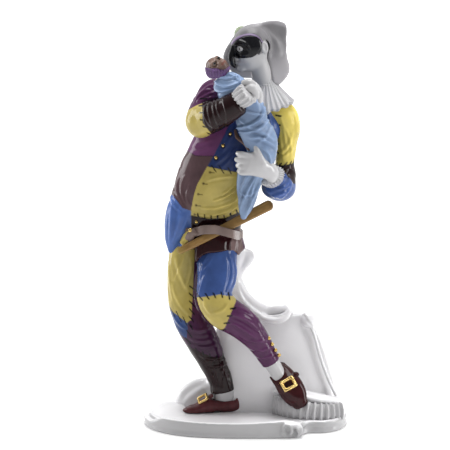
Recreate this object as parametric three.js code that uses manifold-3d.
// Commedia dell'arte figurine in glazed porcelain. A masked harlequin in a patched costume holds a
// swaddled monkey, and stands on a low rocaille base against a scrolled support. It is cast as one.
// Lengths are millimetres, +Z is up, the figure faces -Y, and the origin is on the underside.
import * as THREE from "three";
import { mergeVertices } from "three/addons/utils/BufferGeometryUtils.js";
import Module from "manifold-3d";

// Driving dimensions
const figureHeight = 200; // from the deck of the base to the peak of the hat
const baseWidth = 102.5;
const baseDepth = 62;
const baseThickness = 6;
const rimRadius = 1.1;
const scrollRimRadius = 1.7;
const brimThickness = 2.2;
const batWidth = 5.2;
const batThickness = 2.4;
const beltWidth = 5.2;
const beltThickness = 1.1;
const buttonRadius = 0.9;
const buckleWidth = 7.4;
const buckleBar = 1.2;
const pleatsInRuff = 22;
const pleatsInCuff = 12;
const flutesInFrill = 13;
const smallestEdge = 0.6; // shorter edges that the joining leaves are taken out

// The pose is written in shares of the figure's height: one share is a hundredth of it.
const share = figureHeight / 100;
const X = new THREE.Vector3(1, 0, 0);
const Y = new THREE.Vector3(0, 1, 0);
const Z = new THREE.Vector3(0, 0, 1);

// A point of the figure, given in shares above the deck
function at([x, y, z]) {
  return new THREE.Vector3(x * share, y * share, z * share + baseThickness);
}

// A point on the base, given in shares of its half width and half depth, with a height in mm
function onBase([x, y], height) {
  return new THREE.Vector3((x * baseWidth) / 2, (y * baseDepth) / 2, height);
}

// A closed surface of rows of points. place(row, c, s) gives the point at that row, where (c, s) is
// the unit circle's point of the column, and (0, 0) at the two ends.
function surface(sides, rows, place) {
  const geometry = new THREE.SphereGeometry(1, sides, rows);
  const points = geometry.getAttribute("position");
  for (let i = 0; i < points.count; i++) {
    const row = Math.floor(i / (sides + 1));
    const angle = ((i % (sides + 1)) % sides) * ((2 * Math.PI) / sides);
    const end = row === 0 || row === rows;
    const p = place(row, end ? 0 : -Math.cos(angle), end ? 0 : Math.sin(angle));
    points.setXYZ(i, p.x, p.y, p.z);
  }
  return geometry;
}

// A smooth curve through rows of numbers, such as centres or half widths
function through(rows) {
  return new THREE.CatmullRomCurve3(
    rows.map((r) => new THREE.Vector3(...r)),
    false,
    "catmullrom",
  );
}

// A round-ended body along a smooth path. Each station is [x, y, z, half width, half depth] in
// shares, side is the direction that the width is measured in, and wave(t, angle) swells the skin.
function sweep(stations, { sides = 10, steps = 6, side = X, cap = 1, capRows = 1, wave = null } = {}) {
  const spine = through(stations.map((s) => at(s).toArray()));
  const sizes = through(stations.map((s) => [s[3] * share, (s[4] ?? s[3]) * share, 0]));
  const rows = steps + 2 * capRows;
  return surface(sides, rows, (row, c, s) => {
    const step = THREE.MathUtils.clamp(row - capRows, 0, steps);
    const t = step / steps;
    const tangent = spine.getTangent(t).normalize();
    const across = side.clone().addScaledVector(tangent, -side.dot(tangent)).normalize();
    const deep = new THREE.Vector3().crossVectors(tangent, across);
    const size = sizes.getPoint(t);
    const beyond = (row - capRows - step) / capRows; // -1 to 0 in the first cap, 0 to 1 in the last
    const lean = Math.asin(THREE.MathUtils.clamp(beyond, -1, 1));
    const swell = wave ? wave(t, Math.atan2(s, c)) : 1;
    const round = Math.cos(lean) * swell;
    const reach = Math.sin(lean) * cap * Math.min(size.x, size.y);
    return spine
      .getPoint(t)
      .addScaledVector(across, c * size.x * round)
      .addScaledVector(deep, s * size.y * round)
      .addScaledVector(tangent, reach);
  });
}

// Three unit vectors of a local frame: forward, to the left and up
function frameOf(forward, up) {
  const f = new THREE.Vector3(...forward).normalize();
  const u = new THREE.Vector3(...up);
  u.addScaledVector(f, -u.dot(f)).normalize();
  return { f, l: new THREE.Vector3().crossVectors(u, f), u };
}

const worldFrame = { f: X, l: Y, u: Z };

// A point of a local frame, in shares from its centre
function inFrame(centre, { f, l, u }, [a, b, c]) {
  return at(centre)
    .addScaledVector(f, a * share)
    .addScaledVector(l, b * share)
    .addScaledVector(u, c * share);
}

// The same point, back in shares
function sharesIn(centre, frame, offset) {
  const p = inFrame(centre, frame, offset);
  return [p.x / share, p.y / share, (p.z - baseThickness) / share];
}

// An ellipsoid with its radii, in shares, along the frame's forward, left and up
function ball(centre, radii, { frame = worldFrame, sides = 10, rows = 7 } = {}) {
  const [rf, rl, ru] = radii.map((r) => r * share);
  return surface(sides, rows, (row, c, s) => {
    const polar = (row * Math.PI) / rows;
    return at(centre)
      .addScaledVector(frame.f, c * Math.sin(polar) * rf)
      .addScaledVector(frame.l, -s * Math.sin(polar) * rl)
      .addScaledVector(frame.u, Math.cos(polar) * ru);
  });
}

// A closed three.js geometry as a solid, and solids joined or cut
const wasm = await Module();
wasm.setup();

function solid(geometry) {
  geometry.deleteAttribute("normal");
  geometry.deleteAttribute("uv");
  const merged = mergeVertices(geometry, 1e-4);
  return new wasm.Manifold(
    new wasm.Mesh({
      numProp: 3,
      vertProperties: merged.getAttribute("position").array,
      triVerts: new Uint32Array(merged.index.array),
    }),
  );
}

function joined(solids) {
  return solids.reduce((whole, next) => whole.add(next));
}

function geometryOf(manifold) {
  const mesh = manifold.getMesh();
  const geometry = new THREE.BufferGeometry();
  geometry.setAttribute("position", new THREE.BufferAttribute(new Float32Array(mesh.vertProperties), 3));
  geometry.setIndex(new THREE.BufferAttribute(new Uint32Array(mesh.triVerts), 1));
  geometry.computeVertexNormals();
  return geometry;
}

// The head looks to the figure's right, a little down. Its parts are placed in its own frame.
const headCentre = [1.6, -0.5, 93.2];
const headFrame = frameOf([-0.863, -0.498, -0.1], [-0.1, 0, 1]);
const onHead = (offset) => sharesIn(headCentre, headFrame, offset);
const headBall = (offset, radii, options = {}) => ball(onHead(offset), radii, { frame: headFrame, ...options });
const skull = [4.4, 3.7, 4.8];

function headParts() {
  const ears = [1, -1].map((hand) =>
    headBall([-1.4, hand * 3.8, -0.3], [0.85, 0.4, 1.5], { sides: 7, rows: 5 }),
  );
  return [
    headBall([0, 0, 0], skull, { sides: 11, rows: 8 }),
    headBall([1.3, 0, -2.6], [2.9, 2.8, 3.3], { sides: 10, rows: 6 }),
    headBall([3.35, 0, -4.5], [1.1, 1.2, 1], { sides: 7, rows: 5 }),
    headBall([3.9, 0, -3.15], [0.9, 1.2, 0.5], { sides: 7, rows: 5 }),
    sweep([[...onHead([-0.9, 0, -3]), 2.7], [4.1, 0.6, 85.5, 2.3], [4.8, 1, 80, 2.9]], { sides: 10, steps: 5, side: Y }),
    ...ears,
  ];
}

// The raised half mask: the upper face swelled and cut by a ball, with nose, cheeks and brows
function maskSolid() {
  const swelled = skull.map((r) => r + 0.35);
  const shell = solid(headBall([0, 0, 0.1], swelled, { sides: 10, rows: 6 })).intersect(
    solid(headBall([3.1, 0.2, 0.2], [5, 5.4, 3.4], { sides: 10, rows: 6 })),
  );
  const brows = [1, -1].map((hand) =>
    sweep(
      [
        [...onHead([4.6, hand * 0.5, 1.3]), 0.35],
        [...onHead([4.3, hand * 1.7, 2.3]), 0.45],
        [...onHead([3.1, hand * 3, 1.2]), 0.3],
      ],
      { sides: 5, steps: 3, side: Z },
    ),
  );
  const cheeks = [1, -1].map((hand) => headBall([3.7, hand * 1.7, -1.2], [1.2, 1.1, 0.9], { sides: 6, rows: 5 }));
  const nose = sweep(
    [
      [...onHead([4.5, 0, 0.7]), 0.5],
      [...onHead([5.3, 0, -0.6]), 0.75],
      [...onHead([5.3, 0, -1.4]), 0.9],
    ],
    { sides: 6, steps: 2, side: headFrame.l },
  );
  const sockets = [1, -1].map((hand) =>
    solid(headBall([4.9, hand * 1.75, 0.3], [0.9, 0.85, 0.65], { sides: 7, rows: 5 })),
  );
  const mask = joined([shell, ...[...brows, ...cheeks, nose].map(solid)]);
  return sockets.reduce((whole, socket) => whole.subtract(socket), mask);
}

function eyeParts() {
  return [1, -1].map((hand) => headBall([3.55, hand * 1.75, 0.3], [0.85, 0.7, 0.6], { sides: 6, rows: 5 }));
}

// The felt hat sits on the back of the head. Its brim is a floppy disc seen from below, with the
// reach of its edge given round the head from the figure's left.
const hatCentre = [3.1, 1.6, 91.6];
const brimReach = [7.3, 7.9, 9.9, 8.6, 7.4, 7.0, 7.7, 8.0, 8.8, 8.4, 7.4, 7, 6.8, 7.6, 9.1, 8.4];
const brimFrame = frameOf([0.97, 0.2, 0], [0, 0.22, 1]);
const brimRings = 6;

function brim() {
  const reach = (angle) => {
    const turn = (angle / (2 * Math.PI)) * brimReach.length + brimReach.length;
    const here = Math.floor(turn);
    const ease = (1 - Math.cos((turn - here) * Math.PI)) / 2;
    return THREE.MathUtils.lerp(brimReach[here % 16], brimReach[(here + 1) % 16], ease) * share;
  };
  return surface(28, brimRings, (row, c, s) => {
    const polar = (row * Math.PI) / brimRings;
    const out = Math.sin(polar);
    const angle = Math.atan2(s, c);
    const curl = Math.cos(2 * angle + 0.6) * 1.1 - 0.4; // the felt's edge waves to and fro
    const skin = Math.sign(Math.cos(polar)) * Math.abs(Math.cos(polar)) ** 0.4;
    const radius = out ? reach(angle) * out : 0;
    return inFrame(hatCentre, brimFrame, [0, 0, 0])
      .addScaledVector(brimFrame.f, c * radius)
      .addScaledVector(brimFrame.u, s * radius)
      .addScaledVector(brimFrame.l, curl * out * out * share + (skin * brimThickness) / 2);
  });
}

function hatParts() {
  return [
    brim(),
    sweep(
      [
        [3, 1.2, 93, 6.2, 6],
        [3.6, 4.6, 94, 5.4, 5.2],
        [4.2, 7.4, 93.6, 4, 3.8],
      ],
      { sides: 11, steps: 4, cap: 0.7 },
    ),
    ball([-1.2, 2.6, 96.4], [1.9, 1.4, 1.9], { sides: 7, rows: 5 }),
  ];
}

// A pleated collar or cuff: a flaring cone with its skin pushed in and out
function pleated(stations, pleats, depth, options = {}) {
  return sweep(stations, {
    sides: pleats * 2,
    steps: 2,
    cap: 0.25,
    wave: (t, angle) => 1 + depth * t * Math.cos(pleats * angle),
    ...options,
  });
}

// The neck ruff opens downwards, and its lower edge is tilted up at the figure's left
const ruffRows = [
  [4.7, 0.9, 85.0, 2.3, 0],
  [4.8, 0.6, 83.0, 3.6, 0.16],
  [4.9, -0.2, 78.6, 7.4, 0.4],
];

function ruff() {
  const sides = pleatsInRuff * 2;
  return surface(sides, 4, (row, c, s) => {
    const [x, y, z, radius, tilt] = ruffRows[2 - THREE.MathUtils.clamp(row - 1, 0, 2)];
    const pleat = row > 2 || row < 1 ? 1 : 1 + 0.035 * Math.cos(pleatsInRuff * Math.atan2(s, c));
    const out = new THREE.Vector3(Math.cos(tilt), 0, Math.sin(tilt));
    return at([x, y, z])
      .addScaledVector(out, c * radius * pleat * share)
      .addScaledVector(Y, s * radius * pleat * 0.92 * share);
  });
}

// The coat is one closed body from the hips to the neck, leaning in a slow S
const coatStations = [
  [-10.0, 0.9, 44.5, 9.0, 6.0],
  [-10.2, 0.9, 48.5, 9.0, 6.0],
  [-8.5, 0.4, 56.5, 9.4, 6.7],
  [-4.7, 0.5, 65.0, 9.8, 6.6],
  [-1.1, 0.9, 72.5, 9.3, 6.2],
  [1.4, 1.2, 77.5, 8.9, 5.0],
  [3.9, 1.0, 81.5, 4.6, 3.4],
];

function coatParts() {
  return [
    sweep(coatStations, { sides: 16, steps: 8, cap: 0.4 }),
    sweep(
      [
        [-15.0, 0.4, 60, 1.2, 1.6],
        [-16.3, -0.8, 53.5, 3.0, 3.2],
        [-16.8, -1.6, 48.5, 3.0, 3.0],
        [-17.9, -2.2, 45, 1.7, 1.9],
        [-18.6, -2.6, 42.2, 0.6, 0.8],
      ],
      { sides: 8, steps: 7, cap: 0.6 },
    ),
  ];
}

// The depth of the coat's front, in shares, at a place seen from the front
function coatFront(x, z) {
  const after = coatStations.findIndex((s) => s[2] > z);
  const [low, high] = [coatStations[after - 1], coatStations[after]];
  const mix = (z - low[2]) / (high[2] - low[2]);
  const [cx, cy, , wide, deep] = low.map((v, i) => THREE.MathUtils.lerp(v, high[i], mix));
  return cy - deep * Math.sqrt(Math.max(0, 1 - ((x - cx) / wide) ** 2));
}

// Round buttons down the slanting front edge of the coat
const buttonPlaces = [
  [-3.8, 71.9],
  [-5.5, 69.0],
  [-7.3, 66.0],
  [-8.8, 62.4],
  [-10.4, 59.6],
  [-11.7, 56.9],
  [-12.3, 54.1],
  [-12.6, 51.8],
  [-12.3, 49.6],
];

function buttons() {
  const radius = buttonRadius / share;
  return buttonPlaces.map(([x, z]) => ball([x, coatFront(x, z), z], [radius, radius * 0.8, radius], { sides: 5, rows: 4 }));
}

// The skirt of the coat flares below the belt, with its hem in folds
function skirt() {
  return sweep(
    [
      [-9.9, 0.9, 48.5, 8.6, 5.8],
      [-9.7, 0.8, 45.5, 9.2, 6.6],
      [-9.3, 0.6, 42.4, 10.0, 7.6],
    ],
    { sides: 24, steps: 2, cap: 0.15, wave: (t, angle) => 1 + 0.05 * t * Math.sin(8 * angle + 1) },
  );
}

// A closed tube of the given section along a closed path: place(turn, c, s) gives its skin
function ring(sides, steps, place) {
  const geometry = new THREE.TorusGeometry(1, 0.3, sides, steps);
  const points = geometry.getAttribute("position");
  for (let i = 0; i < points.count; i++) {
    const section = (Math.floor(i / (steps + 1)) % sides) * ((2 * Math.PI) / sides);
    const turn = ((i % (steps + 1)) % steps) * ((2 * Math.PI) / steps);
    const p = place(turn, Math.cos(section), Math.sin(section));
    points.setXYZ(i, p.x, p.y, p.z);
  }
  return geometry;
}

// A flat band round the waist, a little higher in front
function belt() {
  return ring(4, 20, (turn, c, s) => {
    const out = new THREE.Vector3(Math.cos(turn), Math.sin(turn), 0);
    return at([-10.1 + 9.25 * out.x, 0.8 + 6.15 * out.y, 47.4 - 0.9 * out.y])
      .addScaledVector(out, c * beltThickness)
      .addScaledVector(Z, (s * beltWidth) / 2);
  });
}

// The wooden bat is a flat lath with round ends, stuck slantwise through the belt
const batEnds = [at([-16.9, -6.4, 42.6]), at([6.7, -6.6, 55.0])];

function bat() {
  const [low, high] = batEnds;
  const length = low.distanceTo(high);
  const half = batWidth / 2;
  const outline = new THREE.Shape();
  outline.absarc(length / 2 - half, 0, half, -Math.PI / 2, Math.PI / 2);
  outline.absarc(half * 0.6 - length / 2, 0, half * 0.6, Math.PI / 2, (3 * Math.PI) / 2);
  const lath = new THREE.ExtrudeGeometry(outline, { depth: batThickness, bevelEnabled: false, curveSegments: 6 });
  lath.translate(0, 0, -batThickness / 2);
  const along = high.clone().sub(low).normalize();
  const face = new THREE.Vector3(0, -0.95, 0.3);
  face.addScaledVector(along, -face.dot(along)).normalize();
  const up = new THREE.Vector3().crossVectors(face, along);
  const middle = low.clone().add(high).multiplyScalar(0.5);
  return lath.applyMatrix4(new THREE.Matrix4().makeBasis(along, up, face).setPosition(middle));
}

// The figure's right arm is bent up across the monkey
function rightArmParts() {
  return [
    sweep(
      [
        [-4.2, 0.2, 80.6, 3.8, 3.6],
        [-7.2, -1.2, 80.4, 3.9, 3.5],
        [-10.2, -3.0, 77.6, 3.9, 3.4],
        [-11.4, -4.6, 75.4, 3.7, 3.6],
      ],
      { sides: 10, steps: 5 },
    ),
    ball([-11.4, -5.0, 75.2], [3.4, 3.5, 4.0], { sides: 10, rows: 6 }),
    sweep(
      [
        [-10.4, -6.0, 75.6, 3.9, 3.4],
        [-7.9, -9.0, 77.6, 3.9, 3.3],
        [-4.8, -11.8, 80.0, 3.2, 2.8],
        [-1.8, -13.3, 82.2, 2.6, 2.4],
      ],
      { sides: 10, steps: 6, side: Z, cap: 0.3 },
    ),
    pleated(
      [
        [-1.9, -13.3, 82.2, 2.1, 2.0],
        [-0.4, -13.8, 83.2, 2.7, 2.3],
        [0.9, -14.1, 84.0, 3.0, 2.5],
      ],
      pleatsInCuff,
      0.08,
      { side: Z },
    ),
    ball([2.0, -13.6, 84.9], [2.0, 1.8, 2.3], { sides: 8, rows: 5 }),
    sweep(
      [
        [0.9, -13.6, 86.6, 0.7],
        [2.9, -13.2, 86.8, 0.8],
        [4.1, -12.4, 84.6, 0.8],
        [4.0, -11.8, 82.0, 0.6],
      ],
      { sides: 6, steps: 6, side: Y },
    ),
    sweep(
      [
        [2.6, -14.6, 85.6, 0.7],
        [3.6, -14.2, 83.4, 0.75],
        [3.2, -13.2, 81.4, 0.6],
      ],
      { sides: 6, steps: 4, side: Y },
    ),
  ];
}

// The left arm hangs, and its forearm comes forward to hold the monkey from below
const fingerTips = [68.4, 66.6, 65.0, 63.5];

function leftArmParts() {
  const fingers = fingerTips.map((z, i) =>
    sweep(
      [
        [1.2, -11.6, 65.6 + (z - 65.9) * 0.75, 0.75],
        [-0.9, -11.6, z - 0.2, 0.72],
        [-2.4 + 0.3 * Math.abs(i - 1), -10.4, z, 0.6],
      ],
      { sides: 6, steps: 4, side: Z },
    ),
  );
  return [
    sweep(
      [
        [6.6, 0.9, 79.0, 3.2, 3.4],
        [9.8, 1.0, 76.4, 3.3, 3.4],
        [10.4, 1.4, 72.5, 3.15, 3.1],
        [10.1, 2.1, 68.5, 2.6, 2.8],
        [9.8, 2.4, 63.5, 2.4, 2.7],
        [10.0, 2.2, 60.6, 2.6, 2.7],
      ],
      { sides: 10, steps: 9 },
    ),
    sweep(
      [
        [10.2, 1.4, 60.4, 2.5, 2.7],
        [8.9, -1.4, 58.4, 3.6, 3.3],
        [7.0, -4.6, 58.8, 3.5, 3.0],
      ],
      { sides: 11, steps: 5, cap: 0.6 },
    ),
    pleated(
      [
        [7.4, -4.6, 59.4, 2.6, 2.4],
        [6.7, -6.6, 60.6, 3.2, 2.9],
        [6.1, -7.7, 61.3, 3.7, 3.3],
      ],
      pleatsInCuff,
      0.07,
    ),
    sweep(
      [
        [6.6, -7.2, 61.6, 1.8, 1.8],
        [5.9, -9.3, 63.6, 2.2, 1.9],
        [3.4, -10.7, 64.8, 2.4, 1.7],
        [0.8, -11.2, 65.7, 2.7, 1.3],
      ],
      { sides: 8, steps: 6, side: Z, cap: 0.6 },
    ),
    sweep(
      [
        [4.0, -11.0, 66.0, 1.1],
        [2.9, -11.6, 68.7, 0.8],
        [2.2, -11.2, 70.7, 0.55],
      ],
      { sides: 6, steps: 4 },
    ),
    ...fingers,
  ];
}

// The swaddled monkey lies on the figure's breast, with its face turned up
function monkeyParts() {
  const face = frameOf([0.35, -0.75, 0.55], [-0.6, 0.1, 0.7]);
  const centre = [-7.0, -9.0, 90.7];
  const onFace = (offset) => sharesIn(centre, face, offset);
  return [
    sweep(
      [
        [-5.8, -9.0, 87.4, 2.7, 2.6],
        [-4.2, -9.0, 84.8, 3.8, 3.3],
        [-1.6, -9.0, 82.0, 4.1, 3.3],
        [0.9, -9.0, 78.6, 4.0, 3.2],
        [1.5, -9.0, 75.2, 4.1, 3.3],
        [3.2, -9.0, 71.3, 4.5, 3.3],
        [4.0, -8.8, 67.6, 3.6, 3.0],
        [3.4, -8.4, 64.0, 2.7, 2.4],
      ],
      { sides: 10, steps: 8 },
    ),
    sweep(
      [
        [1.6, -8.6, 66.0, 3.2, 2.2],
        [0.7, -8.6, 61.0, 3.0, 2.0],
        [0.3, -8.3, 56.8, 2.5, 1.7],
        [-0.3, -8.0, 53.4, 1.6, 1.3],
        [-0.5, -7.8, 52.0, 0.9, 0.9],
      ],
      { sides: 8, steps: 5, capRows: 2 },
    ),
    ball(centre, [2.9, 2.8, 3.0], { frame: face, sides: 10, rows: 6 }),
    ball(onFace([2.2, 0, -1.1]), [1.5, 1.5, 1.2], { frame: face, sides: 9, rows: 5 }),
    ...[1, -1].map((hand) => ball(onFace([2.1, hand * 1.1, 1.1]), [0.9, 0.9, 0.6], { frame: face, sides: 6, rows: 5 })),
    ...[1, -1].map((hand) => ball(onFace([0, hand * 2.8, 0]), [0.8, 0.5, 1.1], { frame: face, sides: 6, rows: 5 })),
    pleated(
      [
        [-6.2, -9.0, 87.4, 2.4, 2.4],
        [-6.6, -9.0, 88.8, 3.0, 2.9],
        [-7.0, -9.0, 90.0, 3.2, 3.1],
      ],
      pleatsInCuff + 4,
      0.05,
    ),
    sweep(
      [
        [-2.7, -6.0, 74.6, 0.5],
        [-1.9, -6.5, 72.6, 0.5],
        [-0.3, -6.8, 70.9, 0.45],
        [0.7, -6.9, 69.0, 0.35],
      ],
      { sides: 5, steps: 6 },
    ),
  ];
}

// The right leg stands, and the left one swings across in front
const standingLeg = [
  [-14.6, 1.5, 44.5, 4.0, 4.0],
  [-15.4, 1.2, 38.0, 4.2, 4.1],
  [-15.7, 0.8, 31.5, 4.1, 3.9],
  [-14.8, 0.2, 26.2, 4.2, 3.9],
  [-12.9, -0.4, 22.4, 4.5, 3.9],
  [-10.5, 0.2, 17.6, 4.2, 3.8],
  [-8.3, 0.7, 12.6, 3.5, 3.3],
  [-6.0, 1.0, 6.4, 2.95, 2.8],
];
const swungLeg = [
  [-7.0, 0.2, 45.0, 5.2, 4.6],
  [-7.1, -2.2, 40.8, 5.2, 4.6],
  [-7.2, -4.6, 36.2, 5.0, 4.4],
  [-7.7, -7.2, 31.4, 4.6, 4.2],
  [-5.6, -8.0, 28.0, 4.6, 4.1],
  [-1.6, -7.6, 25.2, 4.3, 3.9],
  [1.4, -7.0, 22.1, 3.7, 3.5],
  [3.8, -6.2, 18.7, 3.1, 3.1],
  [6.4, -5.6, 14.2, 2.5, 2.5],
];

function legParts() {
  return [
    sweep(standingLeg, { sides: 10, steps: 9, cap: 0.2 }),
    sweep([[-5.9, 1.0, 7.0, 2.4, 2.3], [-5.3, 1.1, 2.6, 2.7, 2.2]], { sides: 8, steps: 2 }),
    sweep(swungLeg, { sides: 10, steps: 10, cap: 0.2 }),
    sweep([[6.2, -5.5, 14.6, 2.0], [7.8, -5.2, 11.8, 1.9], [8.6, -4.9, 10.2, 2.1]], { sides: 8, steps: 3 }),
  ];
}

// Low shoes with a square buckle each
function buckle(centre, across, normal) {
  const half = buckleWidth / 2;
  const frame = new THREE.Shape([
    new THREE.Vector2(-half, -half * 0.8),
    new THREE.Vector2(half, -half * 0.8),
    new THREE.Vector2(half, half * 0.8),
    new THREE.Vector2(-half, half * 0.8),
  ]);
  const inner = half - buckleBar;
  const low = half * 0.8 - buckleBar;
  frame.holes.push(
    new THREE.Path([
      new THREE.Vector2(-inner, -low),
      new THREE.Vector2(-inner, low),
      new THREE.Vector2(inner, low),
      new THREE.Vector2(inner, -low),
    ]),
  );
  const geometry = new THREE.ExtrudeGeometry(frame, { depth: 2 * buckleBar, bevelEnabled: false });
  geometry.translate(0, 0, -1.2 * buckleBar);
  const n = new THREE.Vector3(...normal).normalize();
  const a = new THREE.Vector3(...across);
  a.addScaledVector(n, -a.dot(n)).normalize();
  const basis = new THREE.Matrix4().makeBasis(a, new THREE.Vector3().crossVectors(n, a), n);
  return geometry.applyMatrix4(basis.setPosition(at(centre)));
}

function shoeParts() {
  return [
    sweep(
      [
        [-15.2, -1.2, 0.8, 0.8, 0.6],
        [-13.9, -1.1, 0.9, 1.7, 0.9],
        [-11.6, -0.7, 1.2, 2.2, 1.3],
        [-9.4, -0.2, 1.7, 2.2, 1.8],
        [-7.2, 0.3, 1.7, 1.9, 1.8],
        [-4.6, 0.9, 1.5, 1.8, 1.6],
        [-2.4, 1.3, 1.6, 1.8, 1.7],
      ],
      { sides: 8, steps: 6, side: Y, cap: 0.7, capRows: 2 },
    ),
    sweep(
      [
        [8.2, -3.7, 12.0, 2.3, 1.5],
        [9.6, -4.9, 10.2, 2.9, 1.9],
        [10.9, -6.2, 8.4, 3.3, 1.9],
        [12.2, -7.0, 5.9, 3.0, 1.7],
        [13.3, -7.4, 4.0, 2.0, 1.3],
      ],
      { sides: 8, steps: 5, capRows: 2 },
    ),
    buckle([-10.6, -0.5, 3.0], [0, 1, 0], [-0.45, -0.25, 0.85]),
    buckle([10.8, -8.0, 9.0], [0.83, 0, 0.56], [0, -0.92, 0.35]),
  ];
}

// The support rises behind the legs as a thin shell with rolled rims and two curled ends
function supportParts() {
  const rim = (stations, steps, cap = 1) =>
    sweep(
      stations.map(([x, y, z, swell = 1]) => [x, y, z, (scrollRimRadius / share) * swell]),
      { sides: 6, steps, cap, side: Y },
    );
  return [
    sweep(
      [
        [-2.0, 4.0, 41.4, 2.8, 1.8],
        [-3.2, 4.2, 36.6, 2.9, 2.0],
        [-3.4, 4.4, 31.4, 3.4, 2.3],
        [-2.4, 4.6, 27.0, 4.5, 2.4],
        [0.6, 4.6, 21.6, 6.8, 2.4],
      ],
      { sides: 10, steps: 5, cap: 0.3 },
    ),
    sweep(
      [
        [4.6, 4.6, 23.2, 11.9, 2.0],
        [5.3, 4.5, 17.0, 13.6, 3.0],
        [6.0, 4.2, 9.0, 15.6, 3.9],
        [7.0, 3.8, -0.6, 17.2, 5.4],
      ],
      { sides: 13, steps: 4, cap: 0.3 },
    ),
    rim(
      [
        [1.0, 3.2, 38.0, 0.9],
        [1.7, 3.4, 39.7, 1.1],
        [0.6, 3.8, 41.2, 0.9],
        [-0.9, 4.0, 38.6, 0.9],
        [-1.6, 4.2, 34.5],
        [-1.0, 4.2, 30.6],
        [1.0, 4.2, 27.4],
        [4.2, 4.0, 25.4],
        [7.4, 3.6, 25.1],
        [10.2, 3.2, 26.2],
        [11.4, 3.0, 25.2, 0.7],
      ],
      15,
    ),
    sweep(
      [
        [4.0, 3.0, 24.6, 1.2, 0.9],
        [6.6, 2.6, 23.4, 1.7, 1.4],
        [9.2, 2.4, 23.6, 1.9, 1.5],
        [11.0, 2.6, 25.2, 1.2, 1.0],
      ],
      { sides: 7, steps: 4, side: Z },
    ),
    sweep([[12.6, 4.4, 22.0, 1.2, 1.8], [16.3, 4.2, 22.6, 1.6, 1.9]], { sides: 7, steps: 2, side: Z }),
    rim(
      [
        [17.3, 3.8, 22.4, 0.6],
        [19.0, 3.8, 16.5, 0.6],
        [21.4, 3.8, 9.0, 0.6],
        [23.6, 3.4, 1.6, 0.7],
      ],
      4,
    ),
    ball([-9.0, 5.6, 0.4], [8.6, 3.4, 6.6], { sides: 10, rows: 5 }),
  ];
}

// The frill is a row of upright flutes along the front of the base
function frillParts() {
  return [
    sweep(
      [
        [7.4, -2.4, 2.0, 2.6, 1.0],
        [10.2, -4.8, 1.8, 2.5, 1.2],
        [15.0, -7.2, 1.5, 2.3, 1.4],
        [20.0, -7.4, 1.1, 2.0, 1.4],
        [24.0, -5.6, 1.0, 1.9, 1.2],
      ],
      {
        sides: 5,
        steps: flutesInFrill * 2,
            cap: 0.4,
        side: Z,
        wave: (t, angle) => 1 + 0.16 * Math.cos(2 * Math.PI * flutesInFrill * t) * Math.abs(Math.sin(angle)),
      },
    ),
    sweep(
      [
        [8.5, 0.0, 5.6, 1.2, 2.0],
        [14.0, -2.6, 4.9, 1.3, 2.6],
        [19.5, -3.2, 3.9, 1.2, 2.8],
        [23.8, -2.0, 2.9, 1.0, 2.4],
      ],
      { sides: 8, steps: 7, side: Z },
    ),
  ];
}

// The base is a low slab with a wavy outline, a rolled rim and a snail scroll at the front
const baseOutline = [
  [-1, -0.03],
  [-0.94, -0.4],
  [-0.78, -0.7],
  [-0.55, -0.89],
  [-0.23, -0.98],
  [0.1, -1],
  [0.35, -0.98],
  [0.5, -0.92],
  [0.57, -0.76],
  [0.63, -0.68],
  [0.78, -0.66],
  [0.92, -0.5],
  [1, -0.16],
  [0.98, 0.12],
  [0.86, 0.36],
  [0.62, 0.66],
  [0.3, 0.88],
  [-0.08, 0.94],
  [-0.45, 0.84],
  [-0.75, 0.62],
  [-0.94, 0.32],
];

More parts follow.
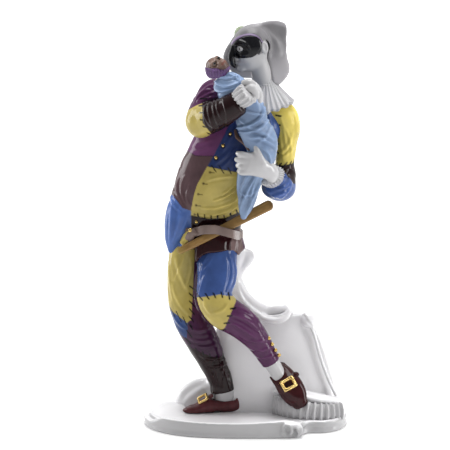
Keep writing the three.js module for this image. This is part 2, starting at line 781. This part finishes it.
function baseParts() {
  const edge = new THREE.CatmullRomCurve3(baseOutline.map((p) => onBase(p, 0)), true);
  const sides = 44;
  const lift = (p) => 2.2 * Math.exp(-(((p.x - 0.2 * baseWidth) / (0.09 * baseWidth)) ** 2)) * (p.y < 0 ? 1 : 0);
  const profile = [
    [0, 0],
    [-0.3 * rimRadius, 0],
    [0, 0.6 * baseThickness],
    [-0.2 * rimRadius, baseThickness + 0.5 * rimRadius],
    [-1.1 * rimRadius, baseThickness + 0.8 * rimRadius],
    [-2.2 * rimRadius, baseThickness],
    [0, baseThickness],
  ];
  const slab = surface(sides, 6, (row, c, s) => {
    const [out, height] = profile[6 - row];
    if (row === 0 || row === 6) return new THREE.Vector3(0, 0, height);
    const t = (Math.atan2(s, -c) / (2 * Math.PI) + 1) % 1;
    const p = edge.getPoint(t);
    const tangent = edge.getTangent(t);
    const normal = new THREE.Vector3(tangent.y, -tangent.x, 0).normalize();
    const raised = height > baseThickness ? lift(p) : 0;
    return p.addScaledVector(normal, out).addScaledVector(Z, height + raised);
  });
  const swell = sweep([[4, -14.4, -1.2, 1.5, 0.9], [9, -14.2, -0.7, 2.1, 1], [13.4, -13.2, -1.2, 1.6, 1]], {
    sides: 7,
    steps: 5,
    side: Z,
  });
  return [
    slab,
    swell,
    ball([11.6, -12.9, -1.2], [2.3, 1.5, 1.8], { sides: 10, rows: 6 }),
    sweep([[9.0, -14.4, -2.2, 0.7], [9.6, -14.6, -0.4, 0.7], [11.2, -14.4, 0.2, 0.6], [12.0, -14.4, -0.8, 0.4]], {
      sides: 5,
      steps: 6,
    }),
  ];
}

// Everything is fired as one piece: all the parts are joined into a single solid
function figurine() {
  const geometries = [
    ...baseParts(),
    ...supportParts(),
    ...frillParts(),
    ...legParts(),
    ...shoeParts(),
    ...coatParts(),
    skirt(),
    belt(),
    bat(),
    ...buttons(),
    ...rightArmParts(),
    ...leftArmParts(),
    ...monkeyParts(),
    ruff(),
    ...headParts(),
    ...eyeParts(),
    ...hatParts(),
  ];
  const whole = joined([...geometries.map(solid), maskSolid()]).trimByPlane([0, 0, 1], 0);
  const shells = whole.simplify(smallestEdge).decompose(); // the small pockets between parts are filled
  return geometryOf(shells.reduce((most, next) => (next.volume() > most.volume() ? next : most)));
}

const glaze = new THREE.MeshStandardMaterial({ color: 0xf2f1ee, roughness: 0.12, metalness: 0 });
const mesh = new THREE.Mesh(figurine(), glaze);
mesh.name = "figurine";

const group = new THREE.Group();
group.add(mesh);

export default group;
